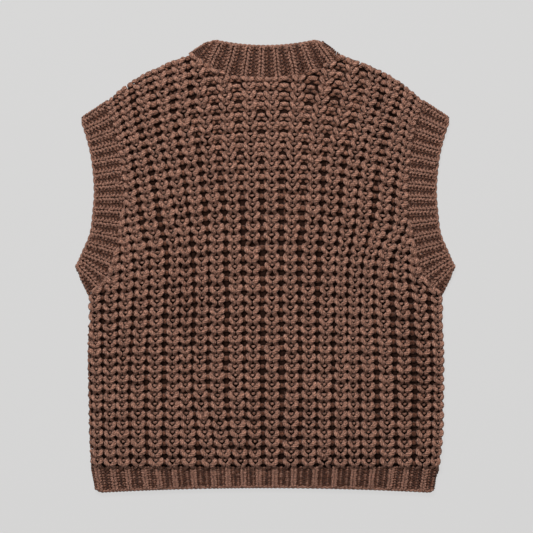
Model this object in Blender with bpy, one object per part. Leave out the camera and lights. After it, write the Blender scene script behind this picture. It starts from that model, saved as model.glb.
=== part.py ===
"""Chunky knitted sweater vest, laid flat with its back up.

X runs to the right in the back view, Y from hem to neck, and Z up. The front panel
and the front halves of the ribs lie on the XY plane, and the back panel and the back
halves of the ribs lie on them. The origin is under the middle of the outline.
"down" is the distance below the two neck peaks. Knit columns are counted outwards
from the middle of the panel, so a column line has a sign and may end in a fraction.
"""

import math
from bisect import bisect_right
from collections import namedtuple

import bmesh
import bpy

# Driving dimensions, in metres
LENGTH = 0.618               # neck peaks to hem corners
NECK_HALF_WIDTH = 0.100      # at the neck seam
NECK_PEAK_HALF_WIDTH = 0.078
NECK_POINT_DOWN = 0.020      # where the neck seam meets the shoulder
BACK_NECK_DOWN = 0.0535      # lowest point of the back neck seam
FRONT_NECK_DOWN = 0.110      # lowest point of the front neck seam
NECK_RIB_DIP = 0.010         # the back free edge hangs this far below its peaks
FRONT_RIB_DIP = 0.068        # the front free edge does the same
HEM_SEAM_DOWN = 0.586        # where the knit body meets the hem rib
HEM_CENTRE_DOWN = 0.6115     # the free edge rises from its corners to its middle
HEM_CORNER = 0.006           # rounding of the hem's two lower corners

SEAM_GAP = 0.0003            # between neighbouring pieces
FRONT_WALL = 0.0050          # the whole lower layer
KNIT_WALL = 0.0045           # back panel, in its purl troughs
KNIT_RIB = 0.0025            # knit columns stand this far above the troughs
RIB_WALL = 0.0035            # neck, armhole and hem bands, in their troughs
RIB_RIDGE = 0.0015           # band ridges stand this far above their troughs
BACK_BASE = FRONT_WALL + SEAM_GAP
LOOSE_LIFT = 0.0028          # the back lies this loosely on the front

NECK_COLUMNS = 3             # column line at the neck point
ARMHOLE_COLUMNS = 8          # column line along the armhole
SIDE_COLUMNS = 11            # column line along the side
BACK_LINES = 4               # mesh lines to a knit column on the ribbed back
FRONT_LINES = 2              # and on the plain front
ROW_CROWDING = 1.4           # mesh rows lie closer together just below the chest line
FOLD_BULGE = 0.5             # the turned edge of a folded band bows out by this share
NECK_FOLD = 0.022            # share of a half band that lies in its fold
ARMHOLE_FOLD = 0.018
BAND_ACROSS = (0.0, 0.5, 0.93, 1.0)
EDGE_ROUNDING = 0.35         # a free edge is thinner by this share
SIDE_FADE = 0.035            # the back's looseness dies out this close to its sides
TOP_FADE = 0.045
HEM_FADE = 0.040
NECK_RIDGES = 8              # on each half of the neck band
ARMHOLE_RIDGES = 14          # on each half of an armhole band

YARN_BROWN = (0.105, 0.053, 0.038, 1.0)

# Sections across an armhole band, from the shoulder to the underarm, in metres.
BandSection = namedtuple("BandSection", "seam_x seam_down free_x free_down")
ARMHOLE_SECTIONS = (
    BandSection(0.2180, 0.088, 0.2510, 0.108),
    BandSection(0.2060, 0.122, 0.2420, 0.136),
    BandSection(0.1990, 0.157, 0.2355, 0.165),
    BandSection(0.1950, 0.203, 0.2320, 0.206),
    BandSection(0.1970, 0.245, 0.2345, 0.242),
    BandSection(0.2015, 0.274, 0.2380, 0.266),
    BandSection(0.2080, 0.303, 0.2475, 0.289),
    BandSection(0.2200, 0.331, 0.2540, 0.304),
    BandSection(0.2400, 0.346, 0.2590, 0.312),
)
CHEST_SECTION = 5            # the row above which the columns beside the armhole end
CHEST_DOWN = ARMHOLE_SECTIONS[CHEST_SECTION].seam_down
SHOULDER_CORNER = ARMHOLE_SECTIONS[0]
LAST_SECTION = len(ARMHOLE_SECTIONS) - 1

# Distance of a column line from the middle, at a height, in metres.
LinePoint = namedtuple("LinePoint", "down x")
NECK_LINE = (
    LinePoint(0.020, 0.1000),
    LinePoint(0.111, 0.0910),
    LinePoint(0.172, 0.0840),
    LinePoint(0.254, 0.0780),
    LinePoint(0.356, 0.0740),
    LinePoint(0.586, 0.0735),
)
ARMHOLE_LINE_BELOW = (
    LinePoint(0.274, 0.2015),
    LinePoint(0.352, 0.1760),
    LinePoint(0.430, 0.1780),
    LinePoint(0.586, 0.1770),
)
SIDE_LINE = (
    LinePoint(0.346, 0.2400),
    LinePoint(0.385, 0.2400),
    LinePoint(0.445, 0.2435),
    LinePoint(0.535, 0.2420),
    LinePoint(0.586, 0.2375),
)
HEM_LINE = (
    LinePoint(0.586, 0.2375),
    LinePoint(0.600, 0.2350),
    LinePoint(0.618, 0.2325),
)

# Soft folds of the back: a ridge rises and a trough falls.
Fold = namedtuple("Fold", "x lean start end half_width rise")
FOLDS = (
    Fold(-0.108, 0.010, 0.215, 0.545, 0.017, -0.0034),
    Fold(-0.010, -0.030, 0.455, 0.580, 0.018, -0.0036),
    Fold(0.205, 0.015, 0.340, 0.585, 0.026, -0.0038),
    Fold(0.112, 0.010, 0.500, 0.580, 0.020, -0.0024),
    Fold(-0.205, 0.000, 0.350, 0.480, 0.022, -0.0020),
    Fold(0.108, 0.020, 0.200, 0.310, 0.022, -0.0018),
    Fold(0.012, -0.004, 0.230, 0.500, 0.011, 0.0026),
    Fold(-0.064, 0.012, 0.360, 0.530, 0.018, 0.0018),
    Fold(0.142, 0.010, 0.350, 0.470, 0.020, 0.0016),
    Fold(-0.176, 0.030, 0.215, 0.330, 0.020, 0.0022),
    Fold(0.170, -0.030, 0.215, 0.330, 0.020, 0.0020),
    Fold(0.000, 0.000, 0.055, 0.230, 0.060, 0.0014),
)


def mix(start, end, share):
    """A value, or each value of a tuple, part of the way from start to end."""
    if isinstance(start, tuple):
        return tuple(mix(a, b, share) for a, b in zip(start, end))
    return start + (end - start) * share


def ease(share):
    """0 to 1 with flat ends, clamped."""
    share = min(1.0, max(0.0, share))
    return share * share * (3.0 - 2.0 * share)


def curve_at(rows, position):
    """Smooth curve through equally numbered rows, at a position counted in rows."""
    index = min(int(position), len(rows) - 2)
    share = position - index
    before = rows[max(index - 1, 0)]
    start, end = rows[index], rows[index + 1]
    after = rows[min(index + 2, len(rows) - 1)]
    point = []
    for a, b, c, d in zip(before, start, end, after):
        bend = (2 * a - 5 * b + 4 * c - d) * share ** 2 + (3 * b - a - 3 * c + d) * share ** 3
        point.append(0.5 * (2 * b + (c - a) * share + bend))
    return type(rows[0])(*point)


def line_x(rows, down):
    """Distance from the middle of a column line at a height, from its own rows."""
    down = min(max(down, rows[0].down), rows[-1].down)
    index = min(bisect_right([row.down for row in rows], down) - 1, len(rows) - 2)
    share = (down - rows[index].down) / (rows[index + 1].down - rows[index].down)
    return mix(rows[index].x, rows[index + 1].x, ease(share))


# ---------------------------------------------------------------- outline
def neck_seam_down(x, lowest):
    """Neck seam of a panel: a flat-bottomed scoop between the two neck points."""
    share = min(1.0, abs(x) / NECK_HALF_WIDTH)
    return mix(lowest, NECK_POINT_DOWN, 1.0 - (1.0 - share ** 2) ** 0.8)


def shoulder_down(x):
    """Shoulder seam: it starts gently at the neck and drops towards the armhole."""
    share = (abs(x) - NECK_HALF_WIDTH) / (SHOULDER_CORNER.seam_x - NECK_HALF_WIDTH)
    return mix(NECK_POINT_DOWN, SHOULDER_CORNER.seam_down, 0.61 * share + 0.39 * share ** 3)


def spread(column, neck_x, armhole_x):
    """Distance of a column line from the middle, between the two lines that fix it."""
    if column <= NECK_COLUMNS:
        return neck_x * column / NECK_COLUMNS
    return mix(neck_x, armhole_x, (column - NECK_COLUMNS) / (ARMHOLE_COLUMNS - NECK_COLUMNS))


def top_down(column, neck_lowest):
    """Height of a column line's top end, on the neck seam or the shoulder."""
    x = spread(column, NECK_HALF_WIDTH, SHOULDER_CORNER.seam_x)
    return shoulder_down(x) if column > NECK_COLUMNS else neck_seam_down(x, neck_lowest)


def upper_point(column, share, neck_lowest):
    """A point above the chest line, by column line and by share of the way down."""
    section = curve_at(ARMHOLE_SECTIONS, CHEST_SECTION * share)
    armhole_fall = section.seam_down - SHOULDER_CORNER.seam_down
    fall = armhole_fall / (CHEST_DOWN - SHOULDER_CORNER.seam_down)
    down = mix(top_down(column, neck_lowest), CHEST_DOWN, fall)
    neck_x = line_x(NECK_LINE, mix(NECK_POINT_DOWN, CHEST_DOWN, fall))
    return spread(column, neck_x, section.seam_x), down


def lower_point(column, share):
    """A point below the chest line. Columns 8 to 11 start along the underarm."""
    if column <= ARMHOLE_COLUMNS:
        down = mix(CHEST_DOWN, HEM_SEAM_DOWN, share)
        armhole_x = line_x(ARMHOLE_LINE_BELOW, down)
        return spread(column, line_x(NECK_LINE, down), armhole_x), down
    outward = (column - ARMHOLE_COLUMNS) / (SIDE_COLUMNS - ARMHOLE_COLUMNS)
    section = curve_at(ARMHOLE_SECTIONS, mix(CHEST_SECTION, LAST_SECTION, outward))
    down = mix(section.seam_down, HEM_SEAM_DOWN, share)
    body_x = mix(line_x(ARMHOLE_LINE_BELOW, down), line_x(SIDE_LINE, down), outward)
    return mix(section.seam_x, body_x, ease(share / 0.3)), down


def panel_point(column, row, rows, neck_lowest):
    """Signed x and down of a panel's mesh point. rows is (above chest, all)."""
    above, everything = rows
    if row <= above and abs(column) <= ARMHOLE_COLUMNS:
        x, down = upper_point(abs(column), row / above, neck_lowest)
    else:
        x, down = lower_point(abs(column), ((row - above) / (everything - above)) ** ROW_CROWDING)
    return math.copysign(x, column), down


def place(x, down, z):
    """World coordinates from the garment's own."""
    return x, LENGTH / 2 - down, z


# ---------------------------------------------------------------- relief of the back
def body_half_width(down):
    """Half width of the knit body at a height, from the shoulder corner down."""
    if down >= SIDE_LINE[0].down:
        return line_x(SIDE_LINE, down)
    seam = tuple(LinePoint(section.seam_down, section.seam_x) for section in ARMHOLE_SECTIONS)
    return line_x(seam, down)


def fold_height(x, down):
    """Sum of the soft folds at a point."""
    height = 0.0
    for fold in FOLDS:
        along = (down - fold.start) / (fold.end - fold.start)
        if 0.0 < along < 1.0:
            middle = fold.x + fold.lean * (along - 0.5)
            across = (x - middle) / fold.half_width
            height += fold.rise * math.exp(-across ** 2) * math.sin(math.pi * along) ** 0.7
    return height


def lift(x, down):
    """Height of the back's inside above its resting level: none at its edges."""
    side = ease((body_half_width(down) - abs(x)) / SIDE_FADE)
    on_shoulder = abs(x) > NECK_HALF_WIDTH
    top = shoulder_down(x) if on_shoulder else neck_seam_down(x, BACK_NECK_DOWN)
    ends = ease((down - top) / TOP_FADE) * ease((HEM_SEAM_DOWN - down) / HEM_FADE)
    return max(0.0, LOOSE_LIFT + fold_height(x, down)) * side * ends


def rib_profile(column):
    """0 in a purl trough, 1 on a knit column's two legs, less in its middle groove."""
    step = round(column * BACK_LINES) % BACK_LINES
    return (0.0, 1.0, 0.6, 1.0)[step]


# ---------------------------------------------------------------- mesh making
def make_object(name, bm):
    """Close a bmesh into an object with its own yarn material."""
    bmesh.ops.remove_doubles(bm, verts=bm.verts, dist=1e-6)
    bmesh.ops.recalc_face_normals(bm, faces=bm.faces)
    mesh = bpy.data.meshes.new(name)
    bm.to_mesh(mesh)
    bm.free()
    material = bpy.data.materials.new(name + "_yarn")
    material.use_nodes = True
    shader = material.node_tree.nodes["Principled BSDF"]
    shader.inputs["Base Color"].default_value = YARN_BROWN
    shader.inputs["Roughness"].default_value = 0.9
    shader.inputs["Metallic"].default_value = 0.0
    mesh.materials.append(material)
    piece = bpy.data.objects.new(name, mesh)
    bpy.context.collection.objects.link(piece)
    return piece


def add_faces(bm, verts, rows, lines, step):
    """Faces between neighbouring rows and every step-th line, with all points on their way."""
    for row, next_row in zip(rows, rows[1:]):
        for start in lines[:-1:step]:
            corners = ((row, start), (next_row, start), (next_row, start + step), (row, start + step))
            if not all(key in verts for key in corners):
                continue
            way = [(row, line) for line in range(start, start + step + 1)]
            way += [(next_row, line) for line in range(start + step, start - 1, -1)]
            bm.faces.new([verts[key] for key in way if key in verts])


def wall(name, outer, inner, rows, lines, step, rim):
    """Closed wall from two fields of points keyed by (row, line).

    Inside the rim, the inner field has only every step-th line.
    """
    bm = bmesh.new()
    outer_verts = {key: bm.verts.new(point) for key, point in outer.items()}
    kept = [key for key in inner if key in rim or key[1] % step == 0]
    inner_verts = {key: bm.verts.new(inner[key]) for key in kept}
    add_faces(bm, outer_verts, rows, lines, 1)
    add_faces(bm, inner_verts, rows, lines, step)
    for key, beyond in zip(rim, rim[1:] + rim[:1]):
        bm.faces.new((outer_verts[key], outer_verts[beyond], inner_verts[beyond], inner_verts[key]))
    return make_object(name, bm)


def panel_rim(rows, reach_above, reach_below):
    """Keys round a panel: its top, armholes, underarms, sides and hem seam."""
    above, everything = rows
    rim = [(0, line) for line in range(-reach_above, reach_above)]
    rim += [(row, reach_above) for row in range(above)]
    rim += [(above, line) for line in range(reach_above, reach_below)]
    rim += [(row, reach_below) for row in range(above, everything)]
    rim += [(everything, line) for line in range(reach_below, -reach_below, -1)]
    rim += [(row, -reach_below) for row in range(everything, above, -1)]
    rim += [(above, line) for line in range(-reach_below, -reach_above)]
    rim += [(row, -reach_above) for row in range(above, 0, -1)]
    return rim


def panel(name, rows, lines_each, neck_lowest, heights):
    """Knit panel. heights(x, down, column) gives its outer and its inner height."""
    above, everything = rows
    reach_above = ARMHOLE_COLUMNS * lines_each
    reach_below = SIDE_COLUMNS * lines_each
    outer = {}
    inner = {}
    for row in range(everything + 1):
        reach = reach_above if row < above else reach_below
        for line in range(-reach, reach + 1):
            column = line / lines_each
            x, down = panel_point(column, row, rows, neck_lowest)
            outer_z, inner_z = heights(x, down, column)
            outer[row, line] = place(x, down, outer_z)
            inner[row, line] = place(x, down, inner_z)
    all_lines = list(range(-reach_below, reach_below + 1))
    rim = panel_rim(rows, reach_above, reach_below)
    return wall(name, outer, inner, list(range(everything + 1)), all_lines, lines_each, rim)


# ---------------------------------------------------------------- panels
BACK_ROWS = (9, 23)
FRONT_ROWS = (6, 13)


def back_heights(x, down, column):
    """The back's plain inside and its ribbed outside."""
    inner_z = BACK_BASE + lift(x, down)
    return inner_z + KNIT_WALL + KNIT_RIB * rib_profile(column), inner_z


def front_heights(x, down, column):
    """The front rests flat, so its outside is the ground plane."""
    return 0.0, FRONT_WALL


def back_panel():
    return panel("back_panel", BACK_ROWS, BACK_LINES, BACK_NECK_DOWN, back_heights)


def front_panel():
    return panel("front_panel", FRONT_ROWS, FRONT_LINES, FRONT_NECK_DOWN, front_heights)


# ---------------------------------------------------------------- folded bands
def polyline_at(points, share):
    """Point of a polyline at a share of its point count."""
    position = share * (len(points) - 1)
    index = min(int(position), len(points) - 2)
    return mix(points[index], points[index + 1], position - index)


def moved_towards(start, target, distance):
    """start moved by a distance towards target, in the plane."""
    length = math.hypot(target[0] - start[0], target[1] - start[1])
    return mix(start, target, distance / length)


def band_half(section_at, ridges, lines_each, fold, outer_z, inner_z, ridge):
    """Cross sections of one half of a band: pairs of outer and inner point rows.

    section_at(share) gives the seam point and the free point in the plane. The
    half stops short of its two folds by the wall that turns there.
    """
    sections = []
    count = ridges * lines_each
    for station in range(count + 1):
        share = mix(fold, 1.0 - fold, station / count)
        seam, free = section_at(share)
        seam = moved_towards(seam, free, SEAM_GAP)
        crest = ridge * rib_profile(station / lines_each)
        outer = []
        inner = []
        for across in BAND_ACROSS:
            x, down = mix(seam, free, across)
            rounding = EDGE_ROUNDING if across == 1.0 else 0.0
            outer.append(place(x, down, mix(outer_z + crest, inner_z, rounding)))
            inner.append(place(x, down, inner_z))
        sections.append((outer, inner))
    return sections


def band_fold(section, section_inside, upper_z, middle_z):
    """Cross sections round a fold: outer points at the rim, inner ones inside it."""
    seam, free = section
    seam_in, free_in = section_inside
    seam = moved_towards(seam, free, SEAM_GAP)
    seam_in = moved_towards(seam_in, free_in, SEAM_GAP)
    sections = []
    for angle in (45, 0, -45):
        out = math.cos(math.radians(angle))
        rise = math.sin(math.radians(angle))
        reach = upper_z - middle_z if rise > 0 else middle_z
        outer = []
        inner = []
        for across in BAND_ACROSS:
            rim = mix(seam, free, across)
            hollow = mix(seam_in, free_in, across)
            x, down = mix(hollow, rim, out * (1.0 + FOLD_BULGE * math.sin(math.pi * across)))
            outer.append(place(x, down, middle_z + reach * rise))
            inner.append(place(*hollow, middle_z))
        sections.append((outer, inner))
    return sections


def ring(name, sections):
    """Closed band from cross sections all round it."""
    bm = bmesh.new()
    loops = []
    for outer, inner in sections:
        loops.append([bm.verts.new(point) for point in outer + inner[::-1]])
    for loop, next_loop in zip(loops, loops[1:] + loops[:1]):
        for corner in range(len(loop)):
            beyond = (corner + 1) % len(loop)
            quad = (loop[corner], loop[beyond], next_loop[beyond], next_loop[corner])
            bm.faces.new(quad)
    return make_object(name, bm)


def folded_band(name, back_at, front_at, ridges, fold):
    """A band that runs over the back, turns at a fold, and returns under the front."""
    middle_z = FRONT_WALL + SEAM_GAP / 2
    upper_z = BACK_BASE + RIB_WALL
    back = band_half(back_at, ridges, BACK_LINES, fold, upper_z, BACK_BASE, RIB_RIDGE)
    front = band_half(front_at, ridges, 1, fold, 0.0, FRONT_WALL, 0.0)
    far_fold = band_fold(back_at(1.0), back_at(1.0 - fold * 0.8), upper_z, middle_z)
    near_fold = band_fold(back_at(0.0), back_at(fold * 0.8), upper_z, middle_z)
    return ring(name, back + far_fold + front[::-1] + near_fold[::-1])


def neck_section(rows, lines_each, neck_lowest, free_dip, share):
    """Section of the neck band: seam points from the panel's own top edge."""
    reach = NECK_COLUMNS * lines_each
    seam_points = []
    for line in range(-reach, reach + 1):
        seam_points.append(panel_point(line / lines_each, 0, rows, neck_lowest))
    seam = polyline_at(seam_points, share)
    side = 2.0 * share - 1.0
    free = (NECK_PEAK_HALF_WIDTH * side, free_dip * (1.0 - side ** 2))
    return seam, free


def neck_rib():
    """The neck band, from the left peak over the back to the right one and round."""
    def back_at(share):
        return neck_section(BACK_ROWS, BACK_LINES, BACK_NECK_DOWN, NECK_RIB_DIP, share)

    def front_at(share):
        return neck_section(FRONT_ROWS, FRONT_LINES, FRONT_NECK_DOWN, FRONT_RIB_DIP, share)

    return folded_band("neck_rib", back_at, front_at, NECK_RIDGES, NECK_FOLD)


def armhole_edge(rows, lines_each):
    """Row positions of a panel's armhole points, in ARMHOLE_SECTIONS."""
    above = rows[0]
    positions = [CHEST_SECTION * row / above for row in range(above + 1)]
    steps = (SIDE_COLUMNS - ARMHOLE_COLUMNS) * lines_each
    positions += [mix(CHEST_SECTION, LAST_SECTION, step / steps) for step in range(1, steps + 1)]
    return positions


def even_positions(count):
    """Positions in ARMHOLE_SECTIONS at even distances along the seam."""
    fine = [step / 20 for step in range(20 * LAST_SECTION + 1)]
    travelled = [0.0]
    for start, end in zip(fine, fine[1:]):
        a, b = curve_at(ARMHOLE_SECTIONS, start), curve_at(ARMHOLE_SECTIONS, end)
        travelled.append(travelled[-1] + math.hypot(b.seam_x - a.seam_x, b.seam_down - a.seam_down))
    positions = []
    for step in range(count + 1):
        distance = travelled[-1] * step / count
        index = min(bisect_right(travelled, distance) - 1, len(fine) - 2)
        share = (distance - travelled[index]) / (travelled[index + 1] - travelled[index])
        positions.append(mix(fine[index], fine[index + 1], share))
    return positions


def armhole_section(rows, lines_each, side, share):
    """Section of an armhole band: seam points from the panel's own armhole edge."""
    position = polyline_at(even_positions(48), share)
    edge = armhole_edge(rows, lines_each)
    index = min(bisect_right(edge, position) - 1, len(edge) - 2)
    start = curve_at(ARMHOLE_SECTIONS, edge[index])
    end = curve_at(ARMHOLE_SECTIONS, edge[index + 1])
    between = (position - edge[index]) / (edge[index + 1] - edge[index])
    free = curve_at(ARMHOLE_SECTIONS, position)
    seam_x = side * mix(start.seam_x, end.seam_x, between)
    seam_down = mix(start.seam_down, end.seam_down, between)
    return (seam_x, seam_down), (side * free.free_x, free.free_down)


def armhole_rib(name, side):
    """An armhole band, folded at the shoulder and at the underarm."""
    def back_at(share):
        return armhole_section(BACK_ROWS, BACK_LINES, side, share)

    def front_at(share):
        return armhole_section(FRONT_ROWS, FRONT_LINES, side, share)

    return folded_band(name, back_at, front_at, ARMHOLE_RIDGES, ARMHOLE_FOLD)


# ---------------------------------------------------------------- hem ribs
def hem_point(column, share):
    """Signed x and down of a hem point, from its seam to its free edge."""
    seam_x, seam_down = lower_point(abs(column), 1.0)
    seam_down += SEAM_GAP
    outward = abs(column) / SIDE_COLUMNS
    free_down = mix(HEM_CENTRE_DOWN, LENGTH, outward ** 2)
    down = mix(seam_down, free_down, share)
    x = seam_x * line_x(HEM_LINE, down) / HEM_LINE[0].x
    corner = HEM_CORNER * ease((outward - 0.9) / 0.1) if share == 1.0 else 0.0
    return math.copysign(x - corner, column), down


def hem_rib(name, lines_each, heights):
    """Band below a panel. heights(column, share) gives its outer and inner height."""
    reach = SIDE_COLUMNS * lines_each
    shares = (0.0, 0.4, 0.78, 1.0)
    outer = {}
    inner = {}
    for row, share in enumerate(shares):
        for line in range(-reach, reach + 1):
            column = line / lines_each
            x, down = hem_point(column, share)
            outer_z, inner_z = heights(column, share)
            outer[row, line] = place(x, down, outer_z)
            inner[row, line] = place(x, down, inner_z)
    last = len(shares) - 1
    rim = [(0, line) for line in range(-reach, reach)]
    rim += [(row, reach) for row in range(last)]
    rim += [(last, line) for line in range(reach, -reach, -1)]
    rim += [(row, -reach) for row in range(last, 0, -1)]
    lines = list(range(-reach, reach + 1))
    return wall(name, outer, inner, list(range(len(shares))), lines, lines_each, rim)


def hem_rib_back():
    def heights(column, share):
        rounding = EDGE_ROUNDING if share == 1.0 else 0.0
        outer_z = BACK_BASE + RIB_WALL + RIB_RIDGE * rib_profile(column)
        return mix(outer_z, BACK_BASE, rounding), BACK_BASE

    return hem_rib("hem_rib_back", BACK_LINES, heights)


def hem_rib_front():
    def heights(column, share):
        return 0.0, FRONT_WALL

    return hem_rib("hem_rib_front", FRONT_LINES, heights)


def main():
    for old in list(bpy.data.objects):
        bpy.data.objects.remove(old, do_unlink=True)
    front_panel()
    back_panel()
    neck_rib()
    armhole_rib("armhole_rib_left", -1)
    armhole_rib("armhole_rib_right", 1)
    hem_rib_front()
    hem_rib_back()


main()
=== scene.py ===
"""Looks of the chunky knitted vest: every course of its yarn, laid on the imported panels.

X runs to the right in the back view, Y from hem to neck, and Z up. "down" is the distance
below the two neck peaks. Knit columns are counted from the middle of the back, with a purl
column halfway between two of them. Rows are counted from the top of the shoulders down.
"""
import math
from collections import namedtuple

import bmesh
import bpy
import numpy as np
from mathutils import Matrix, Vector


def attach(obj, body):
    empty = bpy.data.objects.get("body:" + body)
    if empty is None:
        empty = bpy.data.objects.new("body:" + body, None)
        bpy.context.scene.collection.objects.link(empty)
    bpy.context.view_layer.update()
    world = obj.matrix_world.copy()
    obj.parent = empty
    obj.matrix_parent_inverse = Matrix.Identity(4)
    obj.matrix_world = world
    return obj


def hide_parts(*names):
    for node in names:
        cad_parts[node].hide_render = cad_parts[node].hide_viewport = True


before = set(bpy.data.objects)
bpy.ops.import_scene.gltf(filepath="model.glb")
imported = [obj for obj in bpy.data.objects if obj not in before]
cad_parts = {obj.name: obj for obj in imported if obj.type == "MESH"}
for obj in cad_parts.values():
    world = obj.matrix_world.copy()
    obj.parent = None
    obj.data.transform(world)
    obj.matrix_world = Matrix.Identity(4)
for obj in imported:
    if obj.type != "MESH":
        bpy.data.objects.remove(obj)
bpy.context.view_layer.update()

# ---- the vest, in metres
LENGTH = 0.618  # neck peaks to hem corners
NECK_HALF_WIDTH = 0.100  # at the neck seam
PEAK_HALF_WIDTH = 0.078
NECK_POINT_DOWN = 0.020  # where it meets the shoulder
BACK_NECK_DOWN = 0.0535  # lowest point of the back one
FRONT_NECK_DOWN = 0.110  # and of the front one
NECK_RIB_DIP = 0.010  # the back free edge hangs this far below its peaks
FRONT_RIB_DIP = 0.068  # the front free edge does the same
NECK_ROUNDNESS = 0.8  # a higher power makes it more pointed
SHOULDER_X = 0.218  # outer end of a shoulder
SHOULDER_CORNER_DOWN = 0.088
SHOULDER_STRAIGHT = 0.61  # share of a shoulder's fall that is even
HEM_SEAM_DOWN = 0.586  # where the knit body meets the hem rib
HEM_CENTRE_DOWN = 0.6115  # the free edge rises from its corners to its middle
HEM_HALF_WIDTH = 0.2375  # at the seam
HEM_FREE_HALF_WIDTH = 0.2325
FRONT_TOP = 0.0050  # inside of the lower layer
BACK_BASE = 0.0053  # inside of the upper layer, at its edges
LAYER_MIDDLE = (FRONT_TOP + BACK_BASE) / 2
HALF_GAP = (BACK_BASE - FRONT_TOP) / 2
KNIT_WALL = 0.0045  # the back's wall between its raised columns
LOOSE_LIFT = 0.0028  # the back lies this loosely on the front
SIDE_FADE = 0.035  # its looseness dies out this close to its sides
TOP_FADE = 0.045
HEM_FADE = 0.040
FOLD_FULLNESS = 0.7  # a lower power keeps a fold full nearer to its ends

# Down an armhole rib: x and down of its seam, then x and down of its free edge.
ARMHOLE_SECTIONS = (
    (0.2180, 0.088, 0.2510, 0.108),
    (0.2060, 0.122, 0.2420, 0.136),
    (0.1990, 0.157, 0.2355, 0.165),
    (0.1950, 0.203, 0.2320, 0.206),
    (0.1970, 0.245, 0.2345, 0.242),
    (0.2015, 0.274, 0.2380, 0.266),
    (0.2080, 0.303, 0.2475, 0.289),
    (0.2200, 0.331, 0.2540, 0.304),
    (0.2400, 0.346, 0.2590, 0.312),
)
SidePoint = namedtuple("SidePoint", "down x")
SIDE_LINE = (
    SidePoint(0.346, 0.2400),
    SidePoint(0.385, 0.2400),
    SidePoint(0.445, 0.2435),
    SidePoint(0.535, 0.2420),
    SidePoint(0.586, 0.2375),
)

# Soft folds of the back: a ridge rises and a trough falls.
Fold = namedtuple("Fold", "x lean start end half_width rise")
FOLDS = (
    Fold(-0.108, 0.010, 0.215, 0.545, 0.017, -0.0034),
    Fold(-0.010, -0.030, 0.455, 0.580, 0.018, -0.0036),
    Fold(0.205, 0.015, 0.340, 0.585, 0.026, -0.0038),
    Fold(0.112, 0.010, 0.500, 0.580, 0.020, -0.0024),
    Fold(-0.205, 0.000, 0.350, 0.480, 0.022, -0.0020),
    Fold(0.108, 0.020, 0.200, 0.310, 0.022, -0.0018),
    Fold(0.012, -0.004, 0.230, 0.500, 0.011, 0.0026),
    Fold(-0.064, 0.012, 0.360, 0.530, 0.018, 0.0018),
    Fold(0.142, 0.010, 0.350, 0.470, 0.020, 0.0016),
    Fold(-0.176, 0.030, 0.215, 0.330, 0.020, 0.0022),
    Fold(0.170, -0.030, 0.215, 0.330, 0.020, 0.0020),
    Fold(0.000, 0.000, 0.055, 0.230, 0.060, 0.0014),
)

# ---- rows and columns
ROWS = 43  # to the hem seam
LOWER_HALF_STARTS = 23  # the back's yarn is parted above this row
FIRST_COLUMN = -11
LAST_COLUMN = 10
ROW_PITCH_ABOVE = 0.0135  # for loops that reach past the first row
ROW_PITCH_BELOW = 0.0129  # and past the last one

# How far down a row lies at the middle of the back.
RowLevel = namedtuple("RowLevel", "row down")
ROW_LEVELS = (
    RowLevel(0, 0.0063),
    RowLevel(6, 0.0870),
    RowLevel(24, 0.3380),
    RowLevel(27, 0.3801),
    RowLevel(43, 0.5862),
)
ROW_DROOP = 1.37  # rows bow down towards the shoulders
DROOP_FADE = 2.2  # and level out towards the hem
DROOP_MOST = 1.1  # as a share of the first row's droop

# Middles of the 22 knit columns, left to right, by their height below the neck peaks.
# Both are in millimetres.
COLUMNS_MM = {
    29: (-279, -260, -242, -223, -203, -176, -147, -118, -93, -66, -28,
         8, 47, 88, 119, 149, 175, 200, 221, 240, 259, 278),
    70: (-270, -251, -233, -215, -194, -168, -140, -113, -89, -55, -22,
         8, 44, 80, 115, 145, 172, 195, 212, 231, 250, 269),
    111: (-257, -238, -220, -202, -184, -160, -135, -110, -81, -52, -21,
          10, 41, 71, 103, 134, 156, 183, 199, 218, 237, 256),
    172: (-244, -225, -207, -188, -168, -145, -124, -100, -76, -48, -19,
          9, 37, 67, 93, 118, 140, 168, 188, 207, 226, 245),
    254: (-234, -215, -197, -179, -155, -130, -112, -92, -67, -43, -17,
          8, 36, 64, 88, 111, 132, 157, 182, 201, 220, 239),
    294: (-225, -206, -188, -168, -146, -123, -108, -87, -66, -42, -18,
          9, 34, 60, 86, 104, 124, 142, 162, 184, 203, 222),
    356: (-232, -210, -189, -168, -147, -125, -107, -86, -65, -40, -17,
          9, 34, 58, 83, 102, 120, 138, 159, 185, 210, 234),
    464: (-229, -211, -194, -173, -150, -126, -109, -89, -66, -40, -17,
          9, 36, 59, 80, 103, 119, 139, 164, 189, 216, 236),
    532: (-228, -211, -194, -172, -149, -126, -106, -83, -61, -37, -15,
          9, 35, 59, 80, 102, 120, 140, 165, 189, 215, 235),
    587: (-228, -210, -192, -171, -149, -126, -104, -75, -53, -33, -13,
          9, 35, 58, 80, 102, 121, 141, 166, 190, 213, 231),
}

# Middles of the hem's knit columns, left to right, in millimetres.
HEM_RIDGES_MM = (-229, -208, -188, -165, -146, -124, -98, -71, -51, -30, -9,
                 13, 39, 68, 95, 121, 146, 172, 192, 218)

# ---- yarn and stitches
YARN = 0.0030  # half the width of the body's thick yarn
RIB_YARN = 0.00155  # and of the ribs' finer one
PRESSED_YARN = 0.42  # the front's yarn is pressed to this share of its depth
GROUND = 0.0008  # the knit's own depth behind its loops

# Cross sections, in yarn halves.
PLIED_SECTION = ((0.0, 0.80), (-0.78, 0.58), (-1.0, 0.0), (0.0, -0.9), (1.0, 0.0), (0.78, 0.58))
ROUND_SIDES = 5
ROUND_DEPTH = 0.9

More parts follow.
